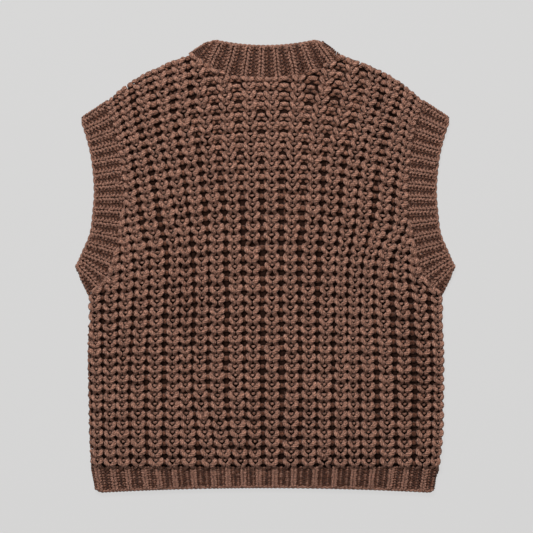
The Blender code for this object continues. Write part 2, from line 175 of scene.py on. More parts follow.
# Half a loop, from its base to its head, in rows of across, along, height and thickness.
# Across is a share of the loop's half width, along counts rows from the head of the loop
# below, height counts yarn halves, and thickness is a share of the yarn's own.
KNIT_CLOSE = (
    (1.02, -0.12, 0.10, 0.85),
    (0.94, 0.02, 0.55, 0.88),
    (0.82, 0.17, 1.20, 0.92),
    (0.62, 0.32, 1.95, 0.98),
    (0.41, 0.46, 2.60, 1.04),
    (0.41, 0.58, 3.05, 1.08),
    (0.70, 0.68, 3.30, 1.10),
    (0.93, 0.79, 3.30, 1.10),
    (1.00, 0.93, 3.00, 1.10),
    (1.00, 1.06, 2.20, 1.06),
    (0.82, 1.14, 0.70, 0.80),
    (0.42, 1.07, 0.60, 0.55),
    (0.00, 0.98, 2.40, 0.62),
)
KNIT_OPEN = (
    (1.05, 0.00, 0.10, 0.82),
    (0.92, 0.09, 0.45, 0.86),
    (0.72, 0.20, 0.90, 0.90),
    (0.48, 0.31, 1.45, 0.96),
    (0.36, 0.43, 2.00, 1.00),
    (0.42, 0.54, 2.40, 1.02),
    (0.68, 0.65, 2.60, 1.04),
    (0.92, 0.77, 2.60, 1.05),
    (1.02, 0.91, 2.30, 1.03),
    (0.98, 1.03, 1.60, 0.95),
    (0.80, 1.10, 0.60, 0.78),
    (0.42, 1.04, 0.50, 0.55),
    (0.00, 0.95, 2.00, 0.66),
)
PURL_CLOSE = (
    (1.55, -0.12, 0.20, 0.75),
    (1.40, 0.04, -0.05, 0.48),
    (1.30, 0.22, -0.20, 0.30),
    (1.60, 0.55, -0.20, 0.30),
    (1.55, 0.72, 0.10, 0.75),
    (0.90, 0.79, 0.35, 1.12),
    (0.00, 0.79, 0.60, 1.28),
)
PURL_OPEN = (
    (1.75, 0.36, 0.60, 0.88),
    (1.42, 0.40, 1.10, 0.96),
    (1.10, 0.42, 1.30, 0.98),
    (0.70, 0.44, 0.90, 0.92),
    (0.36, 0.50, 0.50, 0.80),
    (0.66, 0.60, 0.70, 0.80),
    (1.00, 0.70, 1.20, 0.95),
    (0.70, 0.80, 1.70, 1.10),
    (0.00, 0.81, 1.90, 1.16),
)
PLAIN_KNIT = (
    (0.52, -0.24, 0.90, 0.95),
    (0.42, 0.12, 1.80, 1.02),
    (0.36, 0.50, 2.60, 1.12),
    (0.90, 0.98, 2.40, 1.10),
    (0.76, 1.15, 1.15, 0.90),
    (0.00, 1.00, 0.90, 0.75),
)
PLAIN_PURL = (
    (1.40, 0.20, 0.80, 0.85),
    (0.98, 0.36, 1.35, 0.95),
    (0.52, 0.42, 1.00, 0.80),
    (0.80, 0.74, 1.20, 0.92),
    (0.00, 0.90, 1.85, 1.12),
)
KNIT_RINGS = 24  # places along a knit loop's yarn
PURL_RINGS = 13
BEND_RINGS = 0.9  # how strongly those places crowd into the bends
LOOP_SHAPE_SCALE = (1.0, 2.0, 0.45)  # across, along and height, made comparable

# The spread of what chance does to each loop.
Spread = namedtuple("Spread", "swell lean stretch shift aside height thick roll")
UNEVEN = Spread(0.07, 0.03, 0.04, 0.05, 0.045, 0.12, 0.06, 0.3)

# Where the measures of a point on a loop of yarn stand in its row.
COLUMN, ROW, ACROSS, HEIGHT, THICK, ROLL = range(6)

# How the body's loops change. A span is the rows over which a change comes about.
RowSpan = namedtuple("RowSpan", "first count")
LEG_SPREAD = 0.0072  # a knit loop's leg tops stand this far from its middle
LEG_SHARE = 0.31  # but at most by this share of the pitch
PURL_LEAST = 0.0017  # half the width of a purl loop
PURL_SHARE = 0.25  # as a share of the room that the knit loops leave
CLOSE_PITCH_ABOVE = 0.0232  # near the top, loops stay close up to this pitch
CLOSE_PITCH_BELOW = 0.0262  # and lower down up to this one
PITCH_SPAN = RowSpan(8, 11)
OPENS_OVER = 0.0070  # and they are open when the pitch has grown by this much
PURL_RISE = 0.9  # close purl loops stand up near the top, in yarn halves
PURL_RISE_SPAN = RowSpan(5, 13)
YARN_ABOVE = 0.98  # share of the yarn's full thickness near the top
YARN_SPAN = RowSpan(5, 12)

# How a course of the body ends at its panel's edges.
COURSE_SIDE_REACH = 0.002  # a stitch's middle may lie this far past the side seam
COURSE_TOP_GAP = 0.002  # and keeps this far from the top edge
SHORTEST_COURSE = 3  # stitches
TAIL_REACH = 0.003  # the yarn's end is tucked in this far beside its last stitch
TAIL_HEIGHT = -0.5  # in yarn halves
TOP_MARGIN = 0.0015
TOP_GATHER = 0.0035  # yarn bunches up over this distance from the top margin
SIDE_MARGIN = 0.6 * YARN
SIDE_GATHER = 0.0015
SIDE_ZONE = 0.010
FOLD_SHADE = 400.0  # painted fold shade: a fold's rise, as yarn halves of depth to a metre
SIDE_GLOW = 1.6  # painted light: yarn halves of depth that the side edges gain
SIDE_GLOW_REACH = 0.008

# The front's loops face down, into the lower layer.
FRONT_SINK = 0.0004  # their bases lie this far below the layer's top
FRONT_PRESS = 0.5  # they keep this share of their height
FRONT_REACH = (-0.0005, 0.0020)  # least and most that they reach down from there

# ---- bands
BAND_DEPTH = 2.8  # a band's painted shade falls off this much more steeply than the body's
BAND_SHADE = 3.4  # and is this much deeper, in yarn halves
BAND_LAST = 0.97  # the furthest a loop goes towards the free edge
RIB_OFFSETS = (0.35, 0.65)  # two purl columns follow each knit one
HEM_OFFSETS = (0.34, 0.66)
RING_KNIT_SHARE = 0.24  # half widths of a ring's stitches, as shares of its repeat
RING_PURL_SHARE = 0.11
HEM_KNIT_WIDTH = 0.0035  # half widths of the hem's stitches
HEM_PURL_WIDTH = 0.0025
HEM_COURSES = 8
RING_OVERLAP = 0.10  # of a rib's width, which its first course reaches under the body
HEM_OVERLAP = 0.20
FOLD_PRESS = 0.8  # loops lie down by this share round a band's fold
UNDER_PRESS = 0.66  # and keep this share of their height below it
NECK_CORNER = 0.005  # the neck rib's free edge falls off towards its peaks
NECK_CORNER_REACH = 0.20
ARMHOLE_CORNER = 0.0022  # an armhole rib's free edge draws in at its folds
ARMHOLE_CORNER_REACH = 0.06
HEM_END_PITCH = 0.020  # past the outermost knit columns
HEM_CORNER = 0.0045  # rounding of the hem's lower corners
HEM_CORNER_REACH = 0.0135
HEM_SEAM_MARGIN = 0.0005
HEM_FREE_MARGIN = 0.0012
HEM_SIDE_MARGIN = 0.0015
FRONT_HEM_PRESS = 0.72  # the front hem's loops keep this share of their height

# A rib worked in a ring. A repeat is one knit and two purl columns: phase is the first one's
# place, counted in repeats, and repeat its length. fold is the share of a layer that lies in
# its fold, lobes counts those of the edge's cord, and width is the rib's.
Ring = namedtuple("Ring", "repeats phase courses repeat fold lobes width")
NECK_RING = Ring(17, 0.98, 9, 0.021, 0.022, 50, 0.043)
ARMHOLE_RING = Ring(30, 0.146, 8, 0.0182, 0.018, 48, 0.036)

# The two-strand cord along a free edge.
CORD_STEPS = 4  # places along each of its lobes
CORD_PLACE = 0.985  # its middle, between seam and free edge
CORD_SPREAD = 0.75  # of its strands, in yarn halves
CORD_HEIGHT = 0.9
CORD_DEPTH = 2.2  # painted shade as for yarn that stands this high, so fully lit
HEM_CORD_LOBES = 86
HEM_WIDTH = 0.028
HEM_CORD_ENDS = (-0.6, 19.8)  # counted in the hem's knit columns

# ---- looks
# A wool's fibres run from dark to brown, with pale flecks. twist counts the plies that pass in
# a centimetre, and fibre and mottle are the scales of fibres and patches. ring is the light
# left in the middle of a ring, groove the painted shade left between plies, and plump
# is the relief in metres.
Wool = namedtuple("Wool", "brown dark twist plies fibre mottle ring groove plump")
CHUNKY_WOOL = Wool(
    brown=(0.435, 0.246, 0.184), dark=(0.185, 0.074, 0.044), twist=3.2, plies=4,
    fibre=900.0, mottle=300.0, ring=0.48, groove=0.62, plump=0.0008)
RIB_WOOL = Wool(
    brown=(0.412, 0.234, 0.175), dark=(0.136, 0.050, 0.028), twist=4.0, plies=4,
    fibre=1100.0, mottle=400.0, ring=0.84, groove=0.60, plump=0.0005)
# Painted shade: the grounds between the loops are near-black for the shade inside the knit.
INNER_WOOL_SHADE = (0.026, 0.010, 0.006)
INNER_RIB_SHADE = (0.075, 0.030, 0.018)
PALE_FLECK = (1.42, 1.62, 1.78)  # a pale fibre against the wool's brown
PATCH_LIGHT = (0.50, 1.50)  # of the darkest and the palest patch
RING_LIGHT = 1.10  # at the edge of a ring
RING_SCALE = 1.15  # of rings, against that of patches
SUNK_LIGHT = 0.22  # share of light that painted shade leaves on the deepest yarn
LIT_HEIGHT = 2.2  # yarn halves, from where yarn has no painted shade and is fully lit
STRAND_TWIST = 2.6  # strands that pass with each ply
STRANDS = 17  # round a yarn
STRAND_RELIEF = 0.04  # as a share of a ply's
FIBRE_RELIEF = 0.7

FLOOR_SIZE = 4.0
FLOOR_DROP = 0.0002  # the floor lies just below the vest
WORLD_LIGHT = 0.12
CAMERA_PLACE = (0.0016, -0.0011, 2.0236)
CAMERA_LENS = 100.0  # millimetres
CAMERA_SENSOR = 36.0

chance = np.random.default_rng(11)


# ---- curves and tables
def clamp(share):
    return np.clip(share, 0.0, 1.0)


def ease(share):
    """0 to 1 with flat ends, clamped."""
    share = clamp(share)
    return share * share * (3.0 - 2.0 * share)


def mix(start, end, share):
    return start + (end - start) * share


def spline(a, b, c, d, share):
    """Smooth value between b and c."""
    bend = (2 * a - 5 * b + 4 * c - d) + (3 * b - a - 3 * c + d) * share
    return b + 0.5 * share * ((c - a) + share * bend)


def rows_at(table, position):
    """Smooth rows of a table, at positions counted in rows."""
    last = len(table) - 1
    index = np.clip(np.floor(position).astype(int), 0, last - 1)
    share = (position - index)[:, None]
    before = table[np.maximum(index - 1, 0)]
    after = table[np.minimum(index + 2, last)]
    return spline(before, table[index], table[index + 1], after, share)


def rows_by(effort, table, count):
    """Rows of a table at even steps of an effort that grows from row to row."""
    wanted = np.linspace(0, effort[-1], count)
    return np.stack([np.interp(wanted, effort, column) for column in table.T], 1)


def running_total(steps):
    return np.concatenate(([0.0], np.cumsum(steps)))


def finely(table, count=400):
    return rows_at(table, np.linspace(0, len(table) - 1, count))


def even_sections(count):
    """The armhole's sections at even distances along its seam."""
    fine = finely(np.array(ARMHOLE_SECTIONS))
    steps = np.hypot(np.diff(fine[:, 0]), np.diff(fine[:, 1]))
    return rows_by(running_total(steps), fine, count)


def passed(span, row):
    """0 above a span of rows, growing to 1 below it."""
    return ease((row - span.first) / span.count)


ARMHOLE = even_sections(160)
EDGE_DOWNS = np.concatenate((ARMHOLE[:, 1], [point.down for point in SIDE_LINE[1:]]))
EDGE_XS = np.concatenate((ARMHOLE[:, 0], [point.x for point in SIDE_LINE[1:]]))
COLUMN_DOWNS = np.array(list(COLUMNS_MM.keys())) / 1000.0
COLUMN_MIDDLES = np.array(list(COLUMNS_MM.values())) / 1000.0
HEM_RIDGES = np.array(HEM_RIDGES_MM) / 1000.0


# ---- outline and folds
def point_at(x, down, z):
    return np.stack((x, LENGTH / 2 - down, z), 1)


def neck_seam_down(x, lowest):
    share = clamp(np.abs(x) / NECK_HALF_WIDTH)
    return mix(lowest, NECK_POINT_DOWN, 1.0 - (1.0 - share ** 2) ** NECK_ROUNDNESS)


def shoulder_down(x):
    share = clamp((np.abs(x) - NECK_HALF_WIDTH) / (SHOULDER_X - NECK_HALF_WIDTH))
    fall = SHOULDER_STRAIGHT * share + (1.0 - SHOULDER_STRAIGHT) * share ** 3
    return mix(NECK_POINT_DOWN, SHOULDER_CORNER_DOWN, fall)


def top_down(x, neck_lowest):
    """Top edge of a panel: its neck seam between the shoulders."""
    return np.where(np.abs(x) < NECK_HALF_WIDTH, neck_seam_down(x, neck_lowest), shoulder_down(x))


def body_half_width(down):
    return np.interp(down, EDGE_DOWNS, EDGE_XS)


def fold_height(x, down):
    height = np.zeros_like(x)
    for fold in FOLDS:
        along = clamp((down - fold.start) / (fold.end - fold.start))
        middle = fold.x + fold.lean * (along - 0.5)
        across = (x - middle) / fold.half_width
        height += fold.rise * np.exp(-across ** 2) * np.sin(math.pi * along) ** FOLD_FULLNESS
    return height


def lift(x, down):
    """Height of the back above its resting level: none at its edges."""
    side = ease((body_half_width(down) - np.abs(x)) / SIDE_FADE)
    ends = ease((down - top_down(x, BACK_NECK_DOWN)) / TOP_FADE)
    ends = ends * ease((HEM_SEAM_DOWN - down) / HEM_FADE)
    return np.maximum(0.0, LOOSE_LIFT + fold_height(x, down)) * side * ends


# ---- where a stitch lies
def column_x(column, down):
    """Distance from the middle of a knit column at a height."""
    position = np.interp(down, COLUMN_DOWNS, np.arange(len(COLUMN_DOWNS)))
    rows = rows_at(COLUMN_MIDDLES, position)
    place = column - FIRST_COLUMN
    last = rows.shape[1] - 1
    index = np.clip(np.floor(place).astype(int), 0, last - 1)
    pick = np.arange(len(index))
    before = rows[pick, np.maximum(index - 1, 0)]
    after = rows[pick, np.minimum(index + 2, last)]
    inside = spline(before, rows[pick, index], rows[pick, index + 1], after, place - index)
    short_of = rows[:, 0] + place * (rows[:, 1] - rows[:, 0])
    beyond = rows[:, last] + (place - last) * (rows[:, last] - rows[:, last - 1])
    return np.where(place < 0, short_of, np.where(place > last, beyond, inside))


def droop(x):
    """How far the highest row has fallen at a distance from the middle."""
    beyond = shoulder_down(x) - ROW_LEVELS[0].down
    return np.where(np.abs(x) < NECK_HALF_WIDTH, ROW_DROOP * x ** 2, beyond)


def row_down(x, row):
    level = np.interp(row, [r.row for r in ROW_LEVELS], [r.down for r in ROW_LEVELS])
    level = level + np.minimum(row, 0.0) * ROW_PITCH_ABOVE
    level = level + np.maximum(row - ROWS, 0.0) * ROW_PITCH_BELOW
    return level + droop(x) * np.clip(1.0 - row / ROWS, 0.0, DROOP_MOST) ** DROOP_FADE


def knit_place(column, row, across=0.0):
    """x and down of a point of the knit, across its column by a distance."""
    down = row_down(np.zeros_like(row), row)
    for _ in range(3):      # x and down settle together
        x = column_x(column, down)
        down = row_down(x, row)
    reach = 0.004
    slope = (row_down(x + reach, row) - row_down(x - reach, row)) / (2 * reach)
    size = np.hypot(1.0, slope)
    return x + across / size, down + across * slope / size


def pitch_at(column, row):
    """Distance between the knit columns on both sides of a place."""
    left, _ = knit_place(column - 0.5, row)
    right, _ = knit_place(column + 0.5, row)
    return right - left


# ---- yarn
RING_JOIN = 0.003  # metres of yarn from a ring's last place to its first
STRIP_MARGIN = 0.04  # clear share of a course's strip, on both of its sides
STRIP_ROOM = 1.002  # the longest course leaves this much of its strip free


def add_to_scene(name, data):
    made = bpy.data.objects.new(name, data)
    bpy.context.scene.collection.objects.link(made)
    return made


def smooth_mesh(bm, mesh):
    for face in bm.faces:
        face.smooth = True
    bm.to_mesh(mesh)
    bm.free()
    return mesh


def new_profile(name, section, width, depth):
    """A yarn's cross section."""
    curve = bpy.data.curves.new(name, "CURVE")
    curve.dimensions = "2D"
    line = curve.splines.new("POLY")
    line.points.add(len(section) - 1)
    for point, (x, y) in zip(line.points, section):
        point.co = (x * width, y * depth, 0.0, 1.0)
    line.use_cyclic_u = True
    return add_to_scene(name, curve)


def round_section(sides):
    turns = [2 * math.pi * i / sides for i in range(sides)]
    return [(-math.sin(turn), ROUND_DEPTH * math.cos(turn)) for turn in turns]


def swept_yarn(name, paths, profile, closed):
    """A piece's yarn, each course swept along its path."""
    curve = bpy.data.curves.new(name, "CURVE")
    curve.dimensions = "3D"
    curve.twist_mode = "Z_UP"
    curve.bevel_mode = "OBJECT"
    curve.bevel_object = profile
    for path in paths:
        line = curve.splines.new("POLY")
        line.points.add(len(path) - 1)
        spots = np.concatenate((path[:, :3], np.ones((len(path), 1))), 1)
        line.points.foreach_set("co", spots.ravel())
        line.points.foreach_set("radius", path[:, 3])
        line.points.foreach_set("tilt", path[:, 4])
        line.use_cyclic_u = closed
    holder = add_to_scene(name + "_path", curve)
    bpy.context.view_layer.update()
    graph = bpy.context.evaluated_depsgraph_get()
    mesh = bpy.data.meshes.new_from_object(holder.evaluated_get(graph))
    bpy.data.objects.remove(holder)
    return mesh


def yarn_mesh(name, paths, profile, closed=False):
    """A piece's yarn. A path is rows of x, y, z, thickness, roll and depth, which sets its painted
    shade.
    """
    mesh = swept_yarn(name, paths, profile, closed)
    sides = len(profile.data.splines[0].points)
    bm = bmesh.new()
    bm.from_mesh(mesh)
    for layer in list(bm.loops.layers.uv.values()):
        bm.loops.layers.uv.remove(layer)
    if not closed:
        bmesh.ops.holes_fill(bm, edges=bm.edges, sides=sides)
    bmesh.ops.recalc_face_normals(bm, faces=bm.faces)
    map_yarn(smooth_mesh(bm, mesh), paths, sides, closed)
    # Painted shade and light: depth darkens or lightens the yarn's colour in its material.
    depth = mesh.attributes.new("depth", "FLOAT", "POINT")
    depth.data.foreach_set("value", np.repeat(np.concatenate([p[:, 5] for p in paths]), sides))
    mesh.name = name
    return mesh


def numbers_of(items, name):
    numbers = np.empty(len(items), np.int32)
    items.foreach_get(name, numbers)
    return numbers


def map_yarn(mesh, paths, sides, closed):
    """Two maps: yarn, in centimetres along and turns around, and OFBake, a strip a course."""
    steps = [np.linalg.norm(np.diff(path[:, :3], axis=0), axis=1) for path in paths]
    along = np.concatenate([running_total(s) for s in steps])
    strip = np.concatenate([np.full(len(path), number) for number, path in enumerate(paths)])
    ring, side = np.divmod(numbers_of(mesh.loops, "vertex_index"), sides)
    first = numbers_of(mesh.polygons, "loop_start")
    count = numbers_of(mesh.polygons, "loop_total")
    face = np.repeat(np.arange(len(first)), count)
    highest = np.maximum.reduceat(side, first)[face]
    lowest = np.minimum.reduceat(side, first)[face]
    wraps = (highest == sides - 1) & (lowest == 0) & (count[face] == 4)
    around = (side + sides * (wraps & (side == 0))) / sides
    run = along[ring]
    if closed:
        end = np.maximum.reduceat(ring, first)[face]
        begin = np.minimum.reduceat(ring, first)[face]
        joins = (end - begin > 1) & (ring == begin)
        run = np.where(joins, along[end] + RING_JOIN, run)
    add_map(mesh, "yarn", run * 100.0, around)
    within = STRIP_MARGIN + (1.0 - 2.0 * STRIP_MARGIN) * around
    longest = along.max() * STRIP_ROOM + RING_JOIN
    add_map(mesh, "OFBake", run / longest, (strip[ring] + within) / len(paths))
    mesh.uv_layers.active = mesh.uv_layers["yarn"]


def add_map(mesh, name, u, v):
    layer = mesh.uv_layers.new(name=name)
    layer.data.foreach_set("uv", np.stack((u, v), 1).astype(np.float32).ravel())


def mirrored(half):
    """A whole loop from its first half, left to right."""
    half = np.array(half)
    left = half * (-1.0, 1.0, 1.0, 1.0)
    return np.concatenate((left, half[-2::-1]))


def whole_loop(half, rings):
    """A whole, smooth loop from its first half, with its places close at the bends."""
    fine = finely(mirrored(half))
    steps = np.diff(fine[:, :3] * LOOP_SHAPE_SCALE, axis=0)
    sizes = np.linalg.norm(steps, axis=1)
    ways = steps / sizes[:, None]
    bends = np.zeros(len(sizes))
    bends[1:] = np.linalg.norm(np.diff(ways, axis=0), axis=1)
    effort = running_total(sizes / sizes.sum() + BEND_RINGS * bends / bends.sum())
    return rows_by(effort, fine, rings)


KNITS = (whole_loop(KNIT_CLOSE, KNIT_RINGS), whole_loop(KNIT_OPEN, KNIT_RINGS))
PURLS = (whole_loop(PURL_CLOSE, PURL_RINGS), whole_loop(PURL_OPEN, PURL_RINGS))
PLAIN_LOOPS = {True: mirrored(PLAIN_KNIT), False: mirrored(PLAIN_PURL)}


def stitches_along(row, kinds, columns, widths, opens=None):
    """Points of a row's stitches.

    kinds is true for a knit stitch. opens says how far each has opened, and without it the
    stitches are plain. A row's number is that of its heads, and their bases hang one row lower.
    """
    parts = []
    for place, (kind, column, width) in enumerate(zip(kinds, columns, widths)):
        if opens is None:
            shape = PLAIN_LOOPS[bool(kind)]
        else:
            shape = mix(*(KNITS if kind else PURLS), opens[place])
        across, along, height, thick = shape.T
        luck = Spread(*chance.normal(0.0, UNEVEN))
        points = np.empty((len(shape), 6))
        points[:, COLUMN] = column
        points[:, ROW] = row + 1.0 - along * (1.0 + luck.stretch) + luck.shift
        points[:, ACROSS] = across * width * (1.0 + luck.swell)
        points[:, ACROSS] += (luck.aside + luck.lean * along) * width
        points[:, HEIGHT] = height + luck.height
        points[:, THICK] = thick * (1.0 + luck.thick)
        points[:, ROLL] = luck.roll
        parts.append(points)
    return parts


def yarn_path(spots, points, depth):
    return np.concatenate((spots, points[:, [THICK, ROLL]], depth[:, None]), 1)


# ---- body
def course_runs(row, neck_lowest):
    """The stitches of a row that lie on a panel, in runs of neighbours."""
    steps = np.arange(2 * FIRST_COLUMN - 1, 2 * LAST_COLUMN + 2) / 2.0
    x, down = knit_place(steps, np.full(len(steps), row + 1.0))
    inside = np.abs(x) < body_half_width(down) + COURSE_SIDE_REACH
    inside &= down > top_down(x, neck_lowest) + COURSE_TOP_GAP
    breaks = np.flatnonzero(np.diff(inside)) + 1
    runs = [run for run, good in zip(np.split(steps, breaks), np.split(inside, breaks)) if good[0]]
    return [run for run in runs if len(run) >= SHORTEST_COURSE]


def soft_floor(value, soft):
    """value, bent so that it never falls below 0."""
    return soft * np.logaddexp(0.0, value / soft)


def course_points(row, columns, plain):
    """Points of the neighbouring stitches of a row, fitted to their columns' pitch."""
    kinds = columns == np.floor(columns)
    pitch = pitch_at(columns, np.full(len(columns), row + 0.5))
    leg = np.minimum(LEG_SPREAD, LEG_SHARE * pitch)
    purl = np.maximum(PURL_LEAST, PURL_SHARE * (pitch - 2 * leg))
    fine = mix(YARN_ABOVE, 1.0, passed(YARN_SPAN, row)) * (0.5 + 0.5 * leg / LEG_SPREAD)
    close_pitch = mix(CLOSE_PITCH_ABOVE, CLOSE_PITCH_BELOW, passed(PITCH_SPAN, row))
    opens = ease((pitch - close_pitch) / OPENS_OVER)
    rises = np.where(kinds, 0.0, PURL_RISE * (1.0 - opens)) * (1.0 - passed(PURL_RISE_SPAN, row))
    if plain:
        opens = None
        rises = np.zeros(len(columns))
    parts = stitches_along(row, kinds, columns, np.where(kinds, leg, purl), opens)
    for part, share, rise in zip(parts, fine, rises):
        part[:, THICK] *= share
        part[:, HEIGHT] += rise * clamp(part[:, HEIGHT] * 2.0)
    return with_tails(np.concatenate(parts))


def with_tails(points):
    """The yarn's two ends, tucked in beside its first and last stitches."""
    tails = points[[0, -1]]
    tails[:, ACROSS] += (-TAIL_REACH, TAIL_REACH)
    tails[:, HEIGHT] = TAIL_HEIGHT
    return np.concatenate((tails[:1], points, tails[1:]))


def body_paths(rows, neck_lowest, surface, plain=False):
    """Yarn paths of a panel's rows. surface turns x, down and height into a point."""
    paths = []
    for row in rows:
        for run in course_runs(row, neck_lowest):
            points = course_points(row, run, plain)
            x, down = knit_place(points[:, COLUMN], points[:, ROW], points[:, ACROSS])
            top = top_down(x, neck_lowest) + TOP_MARGIN
            down = top + soft_floor(down - top, TOP_GATHER)
            limit = body_half_width(down) - SIDE_MARGIN
            within = limit - soft_floor(limit - np.abs(x), SIDE_GATHER)
            x = np.where(np.abs(x) > limit - SIDE_ZONE, np.sign(x) * within, x)
            spots = surface(x, down, points[:, HEIGHT] * YARN)
            # Painted light: glow brightens the yarn close to the side edges.
            glow = SIDE_GLOW * (1.0 - ease((limit - np.abs(x)) / SIDE_GLOW_REACH))
            # Painted shade in fold troughs and painted light on fold ridges, through FOLD_SHADE.
            depth = points[:, HEIGHT] + FOLD_SHADE * fold_height(x, down) + glow
            paths.append(yarn_path(spots, points, depth))
    return paths


def on_back(x, down, height):
    return point_at(x, down, BACK_BASE + lift(x, down) + height)


def on_front(x, down, height):
    reach = np.clip(height * FRONT_PRESS, *FRONT_REACH)
    return point_at(x, down, FRONT_TOP - FRONT_SINK - reach)


def on_hem_back(x, down, height):
    return point_at(x, down, BACK_BASE + height)


def on_hem_front(x, down, height):
    return point_at(x, down, FRONT_TOP - FRONT_HEM_PRESS * height)


# ---- bands
def near_end(share, reach):
    """0 along most of a half band, growing to 1 within reach of its two folds."""
    from_middle = np.abs(2.0 * share - 1.0)
    return ease((from_middle - (1.0 - reach)) / reach) ** 2


def neck_sections(share, upper):
    """Seam and free edge of one layer of the neck rib."""
    lowest, dip = (BACK_NECK_DOWN, NECK_RIB_DIP) if upper else (FRONT_NECK_DOWN, FRONT_RIB_DIP)
    side = 2.0 * share - 1.0
    seam_x = NECK_HALF_WIDTH * side
    free_down = dip * (1 - side ** 2) + NECK_CORNER * near_end(share, NECK_CORNER_REACH)
    return np.stack((seam_x, neck_seam_down(seam_x, lowest), PEAK_HALF_WIDTH * side, free_down), 1)


def armhole_sections(side, share):
    """Seam and free edge of either layer of an armhole rib."""
    sections = rows_at(ARMHOLE, clamp(share) * (len(ARMHOLE) - 1))
    sections[:, 2] -= ARMHOLE_CORNER * near_end(share, ARMHOLE_CORNER_REACH)
    return sections * (side, 1.0, side, 1.0)


def layer_at(station):
    """Share along a layer of a folded band, and whether it is the upper one."""
    upper = station < 1.0
    return np.where(upper, station, 2.0 - station), upper


def band_spot(sections_at, share, to_free, upper):
    share = clamp(share)
    section = np.where(upper[:, None], sections_at(share, True), sections_at(share, False))
    return mix(section[:, :2], section[:, 2:], to_free[:, None])


def band_way(sections_at, share, to_free, upper):
    """The band's direction at a place, as long as the layer."""
    reach = 0.004
    low = band_spot(sections_at, share - reach, to_free, upper)
    high = band_spot(sections_at, share + reach, to_free, upper)
    return (high - low) / (2 * reach)


def folded_place(sections_at, fold):
    """Places on a folded band: station runs to 1 over its upper layer and on to 2."""
    def place(station, to_free, across, height):
        share, upper = layer_at(np.mod(station, 2.0))
        way = band_way(sections_at, share, to_free, upper)
        station = np.mod(station + across / np.linalg.norm(way, axis=1), 2.0)
        share, upper = layer_at(station)
        from_end = np.minimum(np.abs(station - 1.0), np.minimum(station, 2.0 - station))
        turn = 0.5 * math.pi * clamp(from_end / fold)
        angle = np.where(upper, turn, -turn)
        past = np.cos(angle)
        at_far_end = share > 0.5
        outwards = np.where(at_far_end, 1.0, -1.0)
        inner = np.where(at_far_end, 1.0 - fold, fold)
        share = np.where(from_end < fold, inner + outwards * fold * past, share)
        way = band_way(sections_at, share, to_free, upper)
        way = way / np.linalg.norm(way, axis=1, keepdims=True)
        height = mix(height, RIB_YARN, FOLD_PRESS * past)
        height = height * mix(UNDER_PRESS, 1.0, 0.5 + 0.5 * np.sin(angle))
        spot = band_spot(sections_at, share, to_free, upper)
        spot = spot + way * (outwards * past * height)[:, None]
        return point_at(spot[:, 0], spot[:, 1], LAYER_MIDDLE + (HALF_GAP + height) * np.sin(angle))

    return place


def hem_place(surface):
    """Places on a hem rib: station counts its knit columns, left to right."""
    stations = np.arange(len(HEM_RIDGES), dtype=float)

    def place(station, to_free, across, height):
        x = np.interp(station, stations, HEM_RIDGES) + across
        x = x + HEM_END_PITCH * (np.minimum(station, 0.0) + np.maximum(station - stations[-1], 0.0))
        free = mix(HEM_CENTRE_DOWN, LENGTH, clamp(np.abs(x) / HEM_HALF_WIDTH) ** 2)
        corner_start = HEM_HALF_WIDTH - HEM_CORNER_REACH
        free = free - HEM_CORNER * ease((np.abs(x) - corner_start) / HEM_CORNER_REACH) ** 2
        down = mix(HEM_SEAM_DOWN + HEM_SEAM_MARGIN, free - HEM_FREE_MARGIN, to_free)
        limit = HEM_HALF_WIDTH - HEM_SIDE_MARGIN
        narrow = mix(1.0, HEM_FREE_HALF_WIDTH / HEM_HALF_WIDTH, to_free)
        return surface(np.clip(x, -limit, limit) * narrow, down, height)

    return place


def band_paths(place, courses, overlap, kinds, stations, widths):
    """Courses of a band. The first one starts under the body."""
    paths = []
    for row in range(-1, courses):
        points = np.concatenate(stitches_along(row, kinds, stations, widths))
        to_free = np.clip(points[:, ROW] / courses, -overlap, BAND_LAST)
        spots = place(points[:, COLUMN], to_free, points[:, ACROSS], points[:, HEIGHT] * RIB_YARN)
        # Painted shade: a band's low loops are darkened more steeply than the body's.
        paths.append(yarn_path(spots, points, BAND_DEPTH * points[:, HEIGHT] - BAND_SHADE))
    return paths


def ring_paths(place, ring):
    """Courses round a folded band."""
    offsets = np.tile((0.0, *RIB_OFFSETS), ring.repeats)
    kinds = offsets == 0.0
    columns = np.repeat(np.arange(ring.repeats), 3) + ring.phase + offsets
    widths = ring.repeat * np.where(kinds, RING_KNIT_SHARE, RING_PURL_SHARE)
    return band_paths(place, ring.courses, RING_OVERLAP, kinds, columns * 2.0 / ring.repeats, widths)


def hem_paths(place):
    """Courses along a hem rib. Its left end starts with a purl column."""
    offsets = np.tile((0.0, *HEM_OFFSETS), len(HEM_RIDGES) + 1)[2:]
    kinds = offsets == 0.0
    columns = np.repeat(np.arange(-1, len(HEM_RIDGES)), 3)[2:] + offsets
    widths = np.where(kinds, HEM_KNIT_WIDTH, HEM_PURL_WIDTH)
    return band_paths(place, HEM_COURSES, HEM_OVERLAP, kinds, columns, widths)


def edge_cord(place, lobes, width, first, last, closed):
    """Two strands twisted along a free edge, a lobe to each half turn."""
    paths = []
    steps = lobes * CORD_STEPS
    share = np.arange(steps) / steps if closed else np.linspace(0, 1, steps)
    turn = share * lobes * math.pi
    look = np.tile((1.0, 0.0, CORD_DEPTH), (steps, 1))
    for strand in (0.0, math.pi):
        out = np.cos(turn + strand) * RIB_YARN * CORD_SPREAD
        up = (CORD_HEIGHT + np.sin(turn + strand) * CORD_SPREAD) * RIB_YARN
        spots = place(mix(first, last, share), CORD_PLACE + out / width, np.zeros(steps), up)
        paths.append(np.concatenate((spots, look), 1))
    return paths


